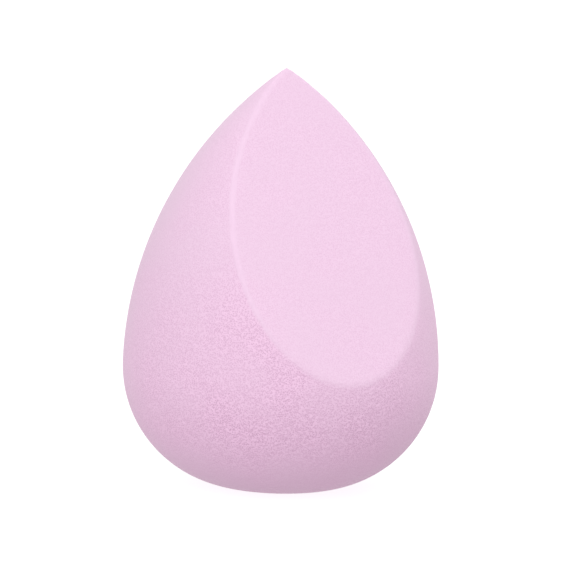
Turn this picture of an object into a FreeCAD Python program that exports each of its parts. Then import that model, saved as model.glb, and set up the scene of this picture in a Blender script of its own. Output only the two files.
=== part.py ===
"""Makeup sponge: one piece of soft foam, a teardrop with a slanted face cut down from its tip.

The teardrop is turned about Z and stands on a small flat at its base, with the origin at the middle
of that flat. The slanted face starts at the tip, looks towards -Y and has a soft rim all round.
Lengths are in millimetres, angles in degrees.
"""

import FreeCAD, Part
import math
import os

import Sketcher

DRIVING_SIZES = {
    "teardrop_height": "60",
    "widest_diameter": "45",
    "base_flat_diameter": "11.2",
    "tip_radius": "1.5",
    "cut_angle": "28",
    "rim_radius": "1",
    "rim_limit_share": "0.85",
    "cut_overrun": "5",
}
FIRST, LAST, MIDDLE = range(1, 4)  # the numbers that a sketch gives to a line's ends and an arc's centre
ORIGIN = (-1, FIRST)
PARALLEL_TOLERANCE = 1e-6

document = FreeCAD.newDocument("makeup_sponge")


def make_sheet():
    """The driving sizes, one named cell each."""
    sheet = document.addObject("Spreadsheet::Sheet", "sizes")
    for row, (alias, value) in enumerate(DRIVING_SIZES.items(), start=1):
        sheet.set(f"A{row}", alias)
        sheet.set(f"B{row}", value)
        sheet.setAlias(f"B{row}", alias)
    document.recompute()
    return sheet


def new_sketch(body, role, name):
    """An empty sketch on one of the body's own origin planes."""
    sketch = body.newObject("Sketcher::SketchObject", name)
    plane = next(plane for plane in body.Origin.OriginFeatures if plane.Role == role)
    sketch.AttachmentSupport = [(plane, "")]
    sketch.MapMode = "FlatFace"
    return sketch


def bind(sketch, name, expression, *constraint):
    """Adds a named dimension to a sketch and binds it to the sheet."""
    index = sketch.addConstraint(Sketcher.Constraint(*constraint))
    sketch.renameConstraint(index, name)
    sketch.setExpression(f"Constraints.{name}", expression)


def arc_between(centre, radius, start, end):
    """A counter-clockwise arc about centre, from the direction of start to that of end."""
    circle = Part.Circle(centre, FreeCAD.Vector(0, 0, 1), radius)
    angles = [math.atan2(point.y - centre.y, point.x - centre.x) for point in (start, end)]
    return Part.ArcOfCircle(circle, *angles)


def add_profile_lines(sketch, sheet):
    """The front half of the teardrop: axis, tip rounding, flank, base rounding and base flat."""
    height = sheet.teardrop_height
    widest = sheet.widest_diameter / 2
    flat = sheet.base_flat_diameter / 2
    tip = sheet.tip_radius
    rounding = widest - flat
    rise = height - tip - rounding
    flank = (widest**2 - tip**2 + rise**2) / (2 * (widest - tip))

    foot = FreeCAD.Vector(0, 0, 0)
    pole = FreeCAD.Vector(0, height, 0)
    tip_centre = FreeCAD.Vector(0, height - tip, 0)
    flank_centre = FreeCAD.Vector(flank - widest, rounding, 0)
    shoulder = tip_centre + (tip_centre - flank_centre).normalize() * tip
    belly = FreeCAD.Vector(-widest, rounding, 0)
    base_centre = FreeCAD.Vector(-flat, rounding, 0)
    flat_edge = FreeCAD.Vector(-flat, 0, 0)

    lines = [
        Part.LineSegment(foot, pole),
        arc_between(tip_centre, tip, pole, shoulder),
        arc_between(flank_centre, flank, shoulder, belly),
        arc_between(base_centre, rounding, belly, flat_edge),
        Part.LineSegment(flat_edge, foot),
    ]
    return [sketch.addGeometry(line) for line in lines]


def draw_profile(body, sheet):
    """The teardrop's half profile, upright beside the axis, with its four sizes bound."""
    sketch = new_sketch(body, "YZ_Plane", "teardrop_profile")
    axis_line, tip_arc, flank_arc, base_arc, base_line = add_profile_lines(sketch, sheet)
    rules = [
        ("Coincident", axis_line, FIRST, *ORIGIN),
        ("Vertical", axis_line),
        ("Coincident", axis_line, LAST, tip_arc, FIRST),
        ("PointOnObject", tip_arc, MIDDLE, axis_line),
        ("Tangent", tip_arc, LAST, flank_arc, FIRST),
        ("Tangent", flank_arc, LAST, base_arc, FIRST),
        ("Horizontal", base_arc, FIRST, base_arc, MIDDLE),
        ("Tangent", base_arc, LAST, base_line, FIRST),
        ("Horizontal", base_line),
        ("Coincident", base_line, LAST, *ORIGIN),
    ]
    sketch.addConstraint([Sketcher.Constraint(*rule) for rule in rules])

    bind(sketch, "height", "sizes.teardrop_height",
         "DistanceY", *ORIGIN, tip_arc, FIRST, sheet.teardrop_height)
    bind(sketch, "tip_rounding", "sizes.tip_radius", "Radius", tip_arc, sheet.tip_radius)
    bind(sketch, "widest_radius", "sizes.widest_diameter / 2",
         "DistanceX", base_arc, FIRST, *ORIGIN, sheet.widest_diameter / 2)
    bind(sketch, "flat_radius", "sizes.base_flat_diameter / 2",
         "DistanceX", base_arc, LAST, *ORIGIN, sheet.base_flat_diameter / 2)
    return sketch


def turn_teardrop(body, profile):
    """The profile turned once round the upright axis."""
    teardrop = body.newObject("PartDesign::Revolution", "turned_teardrop")
    teardrop.Profile = profile
    teardrop.ReferenceAxis = (profile, ["V_Axis"])
    teardrop.Angle = 360
    document.recompute()
    return teardrop


def draw_cut(body, sheet):
    """The wedge that the blade takes off, seen from the side: its long edge is the slanted face."""
    angle = math.radians(sheet.cut_angle)
    overrun = sheet.cut_overrun
    height = sheet.teardrop_height
    front = sheet.widest_diameter / 2 + overrun
    upper = FreeCAD.Vector(overrun * math.tan(angle), height + overrun, 0)
    lower = FreeCAD.Vector(-front, height - front / math.tan(angle), 0)
    corner = FreeCAD.Vector(-front, height + overrun, 0)
    foot = FreeCAD.Vector(0, 0, 0)
    tip = FreeCAD.Vector(0, height, 0)

    sketch = new_sketch(body, "YZ_Plane", "slanted_cut")
    blade = sketch.addGeometry(Part.LineSegment(upper, lower))
    front_edge = sketch.addGeometry(Part.LineSegment(lower, corner))
    top_edge = sketch.addGeometry(Part.LineSegment(corner, upper))
    axis_line = sketch.addGeometry(Part.LineSegment(foot, tip), True)
    rules = [
        ("Coincident", blade, LAST, front_edge, FIRST),
        ("Coincident", front_edge, LAST, top_edge, FIRST),
        ("Coincident", top_edge, LAST, blade, FIRST),
        ("Vertical", front_edge),
        ("Horizontal", top_edge),
        ("Coincident", axis_line, FIRST, *ORIGIN),
        ("Vertical", axis_line),
        ("PointOnObject", axis_line, LAST, blade),
    ]
    sketch.addConstraint([Sketcher.Constraint(*rule) for rule in rules])

    bind(sketch, "tip_height", "sizes.teardrop_height",
         "DistanceY", *ORIGIN, axis_line, LAST, height)
    bind(sketch, "front_reach", "sizes.widest_diameter / 2 + sizes.cut_overrun",
         "DistanceX", front_edge, LAST, *ORIGIN, front)
    bind(sketch, "top_reach", "sizes.teardrop_height + sizes.cut_overrun",
         "DistanceY", *ORIGIN, front_edge, LAST, height + overrun)
    bind(sketch, "blade_angle", "-1 deg * sizes.cut_angle",
         "Angle", front_edge, FIRST, blade, LAST, -angle)
    return sketch


def cut_face(body, wedge):
    """The slanted face, cut right through from side to side."""
    cut = body.newObject("PartDesign::Pocket", "slanted_face")
    cut.Profile = wedge
    cut.SideType = "Symmetric"
    cut.Type = "ThroughAll"
    document.recompute()
    return cut


def slanted_face_name(cut, sheet):
    """The name of the flat face that looks forwards and up at the blade's angle."""
    angle = math.radians(sheet.cut_angle)
    outward = FreeCAD.Vector(0, -math.cos(angle), math.sin(angle))
    for number, face in enumerate(cut.Shape.Faces, start=1):
        if isinstance(face.Surface, Part.Plane):
            if face.normalAt(0, 0).isEqual(outward, PARALLEL_TOLERANCE):
                return f"Face{number}"
    raise RuntimeError("the slanted face was not found")


def soften_rim(body, cut, sheet):
    """The soft rim round the slanted face, kept tighter than the tip that it runs over."""
    rim = body.newObject("PartDesign::Fillet", "soft_rim")
    rim.Base = (cut, [slanted_face_name(cut, sheet)])
    rim.setExpression("Radius", "min(sizes.rim_radius; sizes.rim_limit_share * sizes.tip_radius)")
    document.recompute()


def make_foam_body(sheet):
    body = document.addObject("PartDesign::Body", "foam_body")
    body.Label = "foam_body"
    teardrop = turn_teardrop(body, draw_profile(body, sheet))
    cut = cut_face(body, draw_cut(body, sheet))
    soften_rim(body, cut, sheet)
    print(f"turned {teardrop.Shape.Volume:.1f} mm3, cut {cut.Shape.Volume:.1f} mm3, "
          f"rim softened {body.Shape.Volume:.1f} mm3")
    return body


def check(bodies):
    """Stops before anything is written if an object failed or a solid isn't sound."""
    for item in document.Objects:
        if "Invalid" in item.State or "Error" in item.State:
            raise RuntimeError(f"{item.Label} failed: {item.State}")
    for body in bodies:
        if body.Shape.isNull() or not body.Shape.isValid():
            raise RuntimeError(f"{body.Label} has no sound solid")


sub_parts = [make_foam_body(make_sheet())]
check(sub_parts)
os.makedirs("parts", exist_ok=True)
for sub_part in sub_parts:
    sub_part.Shape.exportStep(f"parts/{sub_part.Label}.step")
    print(sub_part.Label, sub_part.Shape.optimalBoundingBox(True, False))
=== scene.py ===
import math

import bmesh
import bpy
from mathutils import Matrix, Vector


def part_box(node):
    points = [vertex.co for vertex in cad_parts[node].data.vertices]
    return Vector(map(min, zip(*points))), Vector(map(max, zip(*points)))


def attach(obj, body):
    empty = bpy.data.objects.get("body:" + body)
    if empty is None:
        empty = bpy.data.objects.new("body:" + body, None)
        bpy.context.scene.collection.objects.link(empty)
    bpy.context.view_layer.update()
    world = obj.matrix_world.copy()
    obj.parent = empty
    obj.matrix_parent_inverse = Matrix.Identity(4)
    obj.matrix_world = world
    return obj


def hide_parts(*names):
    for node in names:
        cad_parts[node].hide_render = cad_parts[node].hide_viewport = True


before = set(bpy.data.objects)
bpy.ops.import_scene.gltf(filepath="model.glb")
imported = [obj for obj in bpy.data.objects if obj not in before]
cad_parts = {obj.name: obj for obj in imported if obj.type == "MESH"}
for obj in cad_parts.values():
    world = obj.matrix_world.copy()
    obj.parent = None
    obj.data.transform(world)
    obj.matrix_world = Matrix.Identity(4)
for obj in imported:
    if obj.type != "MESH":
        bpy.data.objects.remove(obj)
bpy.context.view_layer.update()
foamLow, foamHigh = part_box("foam_body")
print("frame loaded, foam_body is", [round(1000 * side, 2) for side in foamHigh - foamLow], "mm")

# settings that many nodes share
softStep = {"interpolation_type": "SMOOTHSTEP"}
times = {"operation": "MULTIPLY"}
dotted = {"operation": "DOT_PRODUCT"}
colourMix = {"data_type": "RGBA"}


# A node with its settings, its plain inputs and its links, in a material or a modifier tree alike
def addNode(tree, kind, settings=None, inputs=None, links=None):
    node = tree.nodes.new(kind)
    for name, value in (settings or {}).items():
        setattr(node, name, value)
    for name, value in (inputs or {}).items():
        node.inputs[name].default_value = value
    for name, socket in (links or {}).items():
        tree.links.new(socket, node.inputs[name])
    return node


# sRGB hex to the linear colour that the shaders want
def hexColour(code):
    parts = [int(code[i:i + 2], 16) / 255 for i in (1, 3, 5)]
    return [p / 12.92 if p <= 0.04045 else ((p + 0.055) / 1.055) ** 2.4 for p in parts] + [1.0]


# Degrees: azimuth from straight ahead of the slanted face to the right, elevation up from level
def direction(azimuth, elevation):
    a, e = math.radians(azimuth), math.radians(elevation)
    return Vector((math.sin(a) * math.cos(e), -math.cos(a) * math.cos(e), math.sin(e)))


def applyModifier(piece, kind, **settings):
    bpy.ops.object.modifier_add(type=kind)
    modifier = piece.modifiers[-1]
    for name, value in settings.items():
        setattr(modifier, name, value)
    bpy.ops.object.modifier_apply(modifier=modifier.name)


def selectPoints(piece, wanted):
    mesh = bmesh.from_edit_mesh(piece.data)
    bpy.ops.mesh.select_all(action="DESELECT")
    for point in mesh.verts:
        point.select_set(wanted(point.co))
    mesh.select_flush_mode()
    bmesh.update_edit_mesh(piece.data)


sponge = {
    "tipSpare": 0.00060,            # the flanks would meet this far above the CAD's soft tip
    "bellySpare": 0.00014,          # dry foam stands this far proud of the CAD's widest ring
    "baseRounding": 0.0174,
    "bellyLean": 1.2,               # degrees that the base rounding runs on past the widest ring
    "arcSteps": 40,
    "turnSteps": 180,
    "weld": 0.000005,               # points nearer to each other than this become one
    "cutAngle": 28.33,              # from upright
    "cutHeight": 0.05985,           # where the blade crosses the axis
    "cutTolerance": 0.0000002,
    "meshSize": 0.00040,            # halved by the subdivision that follows
    "leftSoftness": 0.00032,        # spread of the smoothing that wears the cut edge on the left
    "rightSoftness": 0.00060,       # and on the right
    "softTurn": (0.006, 0.014),     # from here to here across, one runs into the other
    "roundSpread": 0.5,             # of the mesh size, for one round of smoothing
    "tipReach": 0.0040,             # towards the tip the smoothing fades, so that the point stays fine
    "tipShare": 0.15,               # to this share
    "tipPulls": [                   # how the tip leans and draws out in the end, each with its reach
        ((-0.00010, 0.0, 0.0), 0.0100),
        ((0.0, 0.0, 0.00010), 0.0013),
    ],
}


# Half the outline, drawn from one point by two spins that run smoothly on, is spun round the upright axis.
def turnTeardrop():
    rounding, lean = sponge["baseRounding"], math.radians(sponge["bellyLean"])
    flat = foamHigh.x + sponge["bellySpare"] - rounding
    tip = foamHigh.z + sponge["tipSpare"]
    rise = tip - rounding
    further = ((flat ** 2 + rise ** 2 - rounding ** 2)
               / (2 * (rounding + flat * math.cos(lean) - rise * math.sin(lean))))
    flankCentre = Vector((flat - further * math.cos(lean), 0, rounding - further * math.sin(lean)))
    flankEnd = math.atan2(tip - flankCentre.z, -flankCentre.x)
    bpy.ops.object.select_all(action="DESELECT")
    bpy.ops.mesh.primitive_plane_add(size=flat, location=(flat, 0, 0))
    piece = bpy.context.object
    bpy.ops.object.transform_apply(location=True, rotation=False, scale=False)
    bpy.ops.object.mode_set(mode="EDIT")
    bpy.ops.mesh.merge(type="CENTER")
    bpy.ops.mesh.spin(steps=sponge["arcSteps"], angle=math.pi / 2 + lean,
                      center=(flat, 0, rounding), axis=(0, 1, 0))
    bpy.ops.mesh.spin(steps=sponge["arcSteps"], angle=flankEnd - lean, center=flankCentre, axis=(0, 1, 0))
    selectPoints(piece, lambda place: place.z < sponge["weld"])
    bpy.ops.mesh.extrude_vertices_move(TRANSFORM_OT_translate={"value": (-flat, 0, 0)})
    bpy.ops.mesh.select_all(action="SELECT")
    bpy.ops.mesh.spin(steps=sponge["turnSteps"], angle=2 * math.pi, center=(0, 0, 0), axis=(0, 0, 1))
    bpy.ops.mesh.select_all(action="SELECT")
    bpy.ops.mesh.remove_doubles(threshold=sponge["weld"])
    bpy.ops.mesh.normals_make_consistent(inside=False)
    print("teardrop turned,", len(bmesh.from_edit_mesh(piece.data).faces), "faces")
    return piece


def cutSlantedFace():
    bpy.ops.mesh.select_all(action="SELECT")
    bpy.ops.mesh.bisect(plane_co=(0, 0, sponge["cutHeight"]), plane_no=direction(0, sponge["cutAngle"]),
                        use_fill=True, clear_outer=True, threshold=sponge["cutTolerance"])
    bpy.ops.mesh.select_all(action="SELECT")
    bpy.ops.mesh.normals_make_consistent(inside=False)
    bpy.ops.object.mode_set(mode="OBJECT")
    print("slanted face cut")


# Even quads, then rounds of smoothing that are felt less on the left and at the tip
def softenRim(piece):
    size = sponge["meshSize"]
    rounds = round((sponge["rightSoftness"] / (sponge["roundSpread"] * size)) ** 2)
    least = (sponge["leftSoftness"] / sponge["rightSoftness"]) ** 2
    left, right = sponge["softTurn"]
    tip = Vector((0, 0, foamHigh.z))
    applyModifier(piece, "REMESH", mode="VOXEL", voxel_size=size)
    wornAndHighlit = piece.vertex_groups.new(name="wornAndHighlit")
    for point in piece.data.vertices:
        across = min(max((point.co.x - left) / (right - left), 0), 1)
        reach = min((point.co - tip).length / sponge["tipReach"], 1)
        share = (least + (1 - least) * across) * (sponge["tipShare"] + (1 - sponge["tipShare"]) * reach ** 2)
        wornAndHighlit.add([point.index], share, "REPLACE")
    applyModifier(piece, "SMOOTH", factor=1.0, iterations=rounds, vertex_group=wornAndHighlit.name)
    bpy.ops.object.vertex_group_remove(all=True)
    applyModifier(piece, "SUBSURF", levels=1, render_levels=1)
    print("rim softened in", rounds, "rounds,", len(piece.data.polygons), "faces")


# The topmost point is pulled, and the foam round it follows less and less.
def drawTip(piece):
    top = max(point.co.z for point in piece.data.vertices)
    bpy.ops.object.mode_set(mode="EDIT")
    selectPoints(piece, lambda place: place.z == top)
    for pull, reach in sponge["tipPulls"]:
        bpy.ops.transform.translate(value=pull, use_proportional_edit=True,
                                    proportional_edit_falloff="SMOOTH", proportional_size=reach)
    bpy.ops.object.mode_set(mode="OBJECT")
    print("tip drawn out from", round(1000 * top, 2), "mm")


pores = {
    "pitch": 0.00050,               # from one pressed-in pore to the next
    "openShare": 0.64,              # of the pitch, where a pore's wall starts
    "floorShare": 0.20,             # and where its floor starts
    "depth": 0.00007,
    "cutShare": 0.45,               # a blade leaves the slanted face smoother than the turned sides
    "cutFade": 0.0004,              # which start this far under the blade's plane
    "base": (0.003, 0.011),         # heights between which the pores open up from the base to the belly
    "baseShare": 0.55,
    "neck": (0.017, 0.040),         # and close again from the belly to the neck
    "neckShare": 0.53,
    "patch": 0.0080,                # size of the patches with deeper and shallower pores
    "patchDetail": 1.0,
    "patchRange": (0.35, 0.65),
    "patchShare": 0.70,
    "clearTurn": -33.0,             # azimuth of the side where the pores are pressed deepest and their painted shade is strongest
    "clearRange": (0.40, 0.85),     # cosines of the turn away from it, over which they clear up
    "sideClearness": 0.60,          # what is left of that elsewhere
    "blurRounds": 12,
    "rimHeights": (0.000022, 0.000044),     # by which the rim stands out from the blurred shape
    "rimFade": (0.018, 0.030),      # towards the belly the painted rim highlight fades out
    "tipFade": (0.040, 0.058),      # and towards the tip it is painted weaker
    "tipHighlight": 0.35,
    "rimShare": 0.30,               # what is left of the pores under the painted rim highlight
    "share": "poreShare",           # attributes with how open the pores are
    "clear": "poreClearness",       # how clear they are
    "paintedHighlight": "rimHighlight",              # and how strongly the highlight is painted along the rim
}


# 1 in the middle of a pore, 0 on the skin between: cells round scattered points, like cut bubbles in foam
def porePattern(tree, place, pitch):
    cells = addNode(tree, "ShaderNodeTexVoronoi", inputs={"Scale": 1 / pitch}, links={"Vector": place})
    return addNode(tree, "ShaderNodeMapRange", softStep,
                   {"From Min": pores["openShare"], "From Max": pores["floorShare"]},
                   {"Value": cells.outputs["Distance"]}).outputs["Result"]


# Painted highlight: 1 along the rim, found as what stands out from a blurred copy of the shape, and 0
# elsewhere
def rimHighlight(tree, place, normal):
    blurred = addNode(tree, "GeometryNodeBlurAttribute", {"data_type": "FLOAT_VECTOR"},
                      {"Iterations": pores["blurRounds"]}, {"Value": place})
    bulge = addNode(tree, "ShaderNodeVectorMath", {"operation": "SUBTRACT"},
                    links={0: place, 1: blurred.outputs["Value"]})
    bulge = addNode(tree, "ShaderNodeVectorMath", dotted, links={0: bulge.outputs["Vector"], 1: normal})
    low, high = pores["rimHeights"]
    standing = addNode(tree, "ShaderNodeMapRange", softStep, {"From Min": low, "From Max": high},
                       {"Value": bulge.outputs["Value"]})
    height = addNode(tree, "ShaderNodeSeparateXYZ", links={0: place})
    low, high = pores["tipFade"]
    upper = addNode(tree, "ShaderNodeMapRange",
                    inputs={"From Min": low, "From Max": high, "To Min": 1.0, "To Max": pores["tipHighlight"]},
                    links={"Value": height.outputs["Z"]})
    highlit = addNode(tree, "ShaderNodeMath", times,
                     links={0: standing.outputs["Result"], 1: upper.outputs["Result"]})
    low, high = pores["rimFade"]
    return addNode(tree, "ShaderNodeMapRange", softStep, {"From Min": low, "From Max": high},
                   {"Value": height.outputs["Z"], "To Max": highlit.outputs[0]}).outputs["Result"]


# How open the pores are: most round the belly, less to the neck, least on the slanted face and its rim
def poreShare(tree, place, paintedHighlight):
    bladeSide = direction(0, sponge["cutAngle"])
    plane = sponge["cutHeight"] * bladeSide.z
    height = addNode(tree, "ShaderNodeSeparateXYZ", links={0: place})
    low, high = pores["base"]
    lower = addNode(tree, "ShaderNodeMapRange", softStep,
                    {"From Min": low, "From Max": high, "To Min": pores["baseShare"]},
                    {"Value": height.outputs["Z"]})
    low, high = pores["neck"]
    turned = addNode(tree, "ShaderNodeMapRange", softStep,
                     {"From Min": low, "From Max": high, "To Max": pores["neckShare"]},
                     {"Value": height.outputs["Z"], "To Min": lower.outputs["Result"]})
    level = addNode(tree, "ShaderNodeVectorMath", dotted, {1: bladeSide}, {0: place})
    share = addNode(tree, "ShaderNodeMapRange", softStep,
                    {"From Min": plane - pores["cutFade"], "From Max": plane, "To Max": pores["cutShare"]},
                    {"Value": level.outputs["Value"], "To Min": turned.outputs["Result"]})
    clouds = addNode(tree, "ShaderNodeTexNoise",
                     inputs={"Scale": 1 / pores["patch"], "Detail": pores["patchDetail"]},
                     links={"Vector": place})
    thin, thick = pores["patchRange"]
    patch = addNode(tree, "ShaderNodeMapRange",
                    inputs={"From Min": thin, "From Max": thick, "To Min": pores["patchShare"]},
                    links={"Value": clouds.outputs["Fac"]})
    rim = addNode(tree, "ShaderNodeMapRange", inputs={"To Min": 1.0, "To Max": pores["rimShare"]},
                  links={"Value": paintedHighlight})
    share = addNode(tree, "ShaderNodeMath", times,
                    links={0: share.outputs["Result"], 1: patch.outputs["Result"]})
    share = addNode(tree, "ShaderNodeMath", times, links={0: share.outputs[0], 1: rim.outputs["Result"]})
    return share.outputs[0]


# 1 on the side where the pores are pressed deepest and their painted shade is strongest, less to both sides
# of it
def poreClearness(tree, normal):
    facing = addNode(tree, "ShaderNodeVectorMath", dotted,
                     {1: direction(pores["clearTurn"], 0)}, {0: normal})
    low, high = pores["clearRange"]
    return addNode(tree, "ShaderNodeMapRange", softStep,
                   {"From Min": low, "From Max": high, "To Min": pores["sideClearness"]},
                   {"Value": facing.outputs["Value"]}).outputs["Result"]


# The pores are pressed in along the normals, and what shaped them is kept for the material.
def openPores(piece):
    tree = bpy.data.node_groups.new("pores", "GeometryNodeTree")
    for way in ("INPUT", "OUTPUT"):
        tree.interface.new_socket("Geometry", in_out=way, socket_type="NodeSocketGeometry")
    start = addNode(tree, "NodeGroupInput")
    place = addNode(tree, "GeometryNodeInputPosition").outputs[0]
    normal = addNode(tree, "GeometryNodeInputNormal").outputs[0]
    # mask of the highlight painted along the rim
    paintedHighlight = rimHighlight(tree, place, normal)
    share = poreShare(tree, place, paintedHighlight)
    clear = poreClearness(tree, normal)
    pressed = addNode(tree, "ShaderNodeMath", times,
                      links={0: share, 1: porePattern(tree, place, pores["pitch"])})
    pressed = addNode(tree, "ShaderNodeMath", times, links={0: pressed.outputs[0], 1: clear})
    pressed = addNode(tree, "ShaderNodeMath", times, {1: -pores["depth"]}, {0: pressed.outputs[0]})
    inward = addNode(tree, "ShaderNodeVectorMath", {"operation": "SCALE"},
                     links={"Vector": normal, "Scale": pressed.outputs[0]})
    kept = start
    for name, value in ((pores["share"], share), (pores["clear"], clear), (pores["paintedHighlight"], paintedHighlight)):
        kept = addNode(tree, "GeometryNodeStoreNamedAttribute", {"data_type": "FLOAT"},
                       {"Name": name}, {"Geometry": kept.outputs[0], "Value": value})
    moved = addNode(tree, "GeometryNodeSetPosition",
                    links={"Geometry": kept.outputs[0], "Offset": inward.outputs["Vector"]})
    addNode(tree, "NodeGroupOutput", links={0: moved.outputs[0]})
    applyModifier(piece, "NODES", node_group=tree)
    print("pores opened")


foam = {
    "skin": "#ECCFE5",              # where the pores are shut
    "wall": "#FAD2EF",              # where they are open, between them
    "pore": "#E2B7D6",              # and in them, painted shade of the cells
    "wornAndHighlit": "#F2D1EA",              # painted highlight along the rim
    "cell": 0.00021,                # the finest cells, about twice as coarse as real ones so that they show
    "cellMean": 0.28,               # of their pattern, to which it blurs where the pores aren't clear
    "cellDepth": 0.00003,
    "roughness": 0.9,
    "shine": 0.15,
    "sheen": 0.28,
    "sheenSpread": 0.5,
}


# Soft polyurethane foam, blown and then ground: matte and pale, with fine open cells whose shade is painted
# in deeper pink, and a painted highlight along the rim
def makeFoam():
    material = bpy.data.materials.new("polyurethane_foam")
    material.use_nodes = True
    tree = material.node_tree
    tree.nodes.clear()
    place = addNode(tree, "ShaderNodeTexCoord").outputs["Object"]
    share = addNode(tree, "ShaderNodeAttribute", {"attribute_name": pores["share"]}).outputs["Fac"]
    clear = addNode(tree, "ShaderNodeAttribute", {"attribute_name": pores["clear"]}).outputs["Fac"]
    wornAndHighlit = addNode(tree, "ShaderNodeAttribute", {"attribute_name": pores["paintedHighlight"]}).outputs["Fac"]
    cells = addNode(tree, "ShaderNodeMix", {"data_type": "FLOAT"}, {"A": foam["cellMean"]},
                    {"B": porePattern(tree, place, foam["cell"]), "Factor": clear})
    cavity = addNode(tree, "ShaderNodeMath", times, links={0: cells.outputs["Result"], 1: share})
    outer = addNode(tree, "ShaderNodeMix", colourMix,
                    {"A": hexColour(foam["skin"]), "B": hexColour(foam["wall"])}, {"Factor": share})
    # painted shade: the cells get a deeper pink in place of the shade inside them
    colour = addNode(tree, "ShaderNodeMix", colourMix, {"B": hexColour(foam["pore"])},
                     {"A": outer.outputs["Result"], "Factor": cavity.outputs[0]})
    # painted highlight: a lighter colour laid along the rim
    colour = addNode(tree, "ShaderNodeMix", colourMix, {"B": hexColour(foam["wornAndHighlit"])},
                     {"A": colour.outputs["Result"], "Factor": wornAndHighlit})
    bump = addNode(tree, "ShaderNodeBump", {"invert": True}, {"Distance": foam["cellDepth"]},
                   {"Height": cavity.outputs[0]})
    shader = addNode(tree, "ShaderNodeBsdfPrincipled",
                     inputs={"Roughness": foam["roughness"], "Specular IOR Level": foam["shine"],
                             "Sheen Weight": foam["sheen"], "Sheen Roughness": foam["sheenSpread"]},
                     links={"Base Color": colour.outputs["Result"], "Normal": bump.outputs["Normal"]})
    addNode(tree, "ShaderNodeOutputMaterial", links={"Surface": shader.outputs["BSDF"]})
    print("foam material made")
    return material


foamBody = turnTeardrop()
cutSlantedFace()
softenRim(foamBody)
drawTip(foamBody)
openPores(foamBody)
foamBody.name = "foam_sponge"
foamBody.data.name = "foam_sponge"
bpy.ops.object.shade_smooth()
foamBody.data.materials.append(makeFoam())

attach(foamBody, "root")
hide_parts("foam_body")

studio = {
    "floorSize": 6.0,
    "floorColour": "#AAAAAA",
    "floorRoughness": 0.9,
    "floorShine": 0.0,
    "glowColour": "#FFFFFF",
    "floorGlow": 0.8,               # lit from below like a light table, so that the shadow stays faint
    "under": "#C5ACBE",             # the tent straight below, where it catches some pink from the sponge
    "below": "#CED1CD",             # just under the horizon
    "above": "#E5E5E5",             # and over it
    "horizon": 0.1,                 # half the height over which one runs into the other
    "lampDistance": 0.36,
    "lamps": {                      # azimuth, elevation, half angle and brightness
        "softbox_left": (-44.4, 16.4, 22.0, 1.83),
        "softbox_top": (57.7, 62.9, 22.0, 1.38),
    },
}

view = {
    "azimuth": -26.9,
    "elevation": 7.1,
    "roll": 1.5,
    "aim": (0.0, 0.0, 0.0285),
    "across": -0.00017,             # the line of sight passes this far to the right of the aim
    "above": 0.00106,               # and above it
    "distance": 0.572,
    "lens": 255.8,
    "sensor": 36.0,
}


# White paper, smooth and dull, that goes evenly white
def makeFloor():
    bpy.ops.object.select_all(action="DESELECT")
    bpy.ops.mesh.primitive_plane_add(size=studio["floorSize"], location=(0, 0, 0))
    floor = bpy.context.object
    floor.name = "studio_floor"
    paper = bpy.data.materials.new("white_paper")
    paper.use_nodes = True
    shader = paper.node_tree.nodes["Principled BSDF"]
    shader.inputs["Base Color"].default_value = hexColour(studio["floorColour"])
    shader.inputs["Roughness"].default_value = studio["floorRoughness"]
    shader.inputs["Specular IOR Level"].default_value = studio["floorShine"]
    shader.inputs["Emission Color"].default_value = hexColour(studio["glowColour"])
    shader.inputs["Emission Strength"].default_value = studio["floorGlow"]
    floor.data.materials.append(paper)
    floor.visible_diffuse = False    # the tent lights the underside, not the glow


# A tent of three tones, and two round softboxes that look at the aim of the view
def makeLights():
    world = bpy.data.worlds.new("white_tent")
    bpy.context.scene.world = world
    world.use_nodes = True
    tree = world.node_tree
    sight = addNode(tree, "ShaderNodeTexCoord").outputs["Generated"]
    height = addNode(tree, "ShaderNodeSeparateXYZ", links={0: sight}).outputs["Z"]
    level = addNode(tree, "ShaderNodeMapRange", softStep,
                    {"From Min": -studio["horizon"], "From Max": studio["horizon"]}, {"Value": height})
    tent = addNode(tree, "ShaderNodeMix", colourMix,
                   {"A": hexColour(studio["below"]), "B": hexColour(studio["above"])},
                   {"Factor": level.outputs["Result"]})
    depth = addNode(tree, "ShaderNodeMapRange",
                    inputs={"From Min": -1.0, "From Max": -studio["horizon"]}, links={"Value": height})
    tent = addNode(tree, "ShaderNodeMix", colourMix, {"A": hexColour(studio["under"])},
                   {"B": tent.outputs["Result"], "Factor": depth.outputs["Result"]})
    tree.links.new(tent.outputs["Result"], tree.nodes["Background"].inputs["Color"])
    aim = Vector(view["aim"])
    for name, (azimuth, elevation, halfAngle, brightness) in studio["lamps"].items():
        towards = direction(azimuth, elevation)
        radius = studio["lampDistance"] * math.tan(math.radians(halfAngle))
        area = math.pi * radius ** 2
        bpy.ops.object.light_add(type="AREA", location=aim + towards * studio["lampDistance"],
                                 rotation=towards.to_track_quat("Z", "Y").to_euler())
        lamp = bpy.context.object
        lamp.name = name
        lamp.data.shape = "DISK"
        lamp.data.size = 2 * radius
        lamp.data.energy = brightness * math.pi * area


def makeCamera():
    back = direction(view["azimuth"], view["elevation"])
    turn = back.to_track_quat("Z", "Y").to_matrix() @ Matrix.Rotation(math.radians(view["roll"]), 3, "Z")
    right, up = turn.col[0], turn.col[1]
    place = Vector(view["aim"]) + view["across"] * right + view["above"] * up + view["distance"] * back
    bpy.ops.object.camera_add(location=place, rotation=turn.to_euler())
    camera = bpy.context.object
    camera.data.lens = view["lens"]
    camera.data.sensor_width = view["sensor"]
    bpy.context.scene.camera = camera


makeFloor()
makeLights()
makeCamera()
bpy.context.scene.view_settings.view_transform = "Standard"
print("studio set")
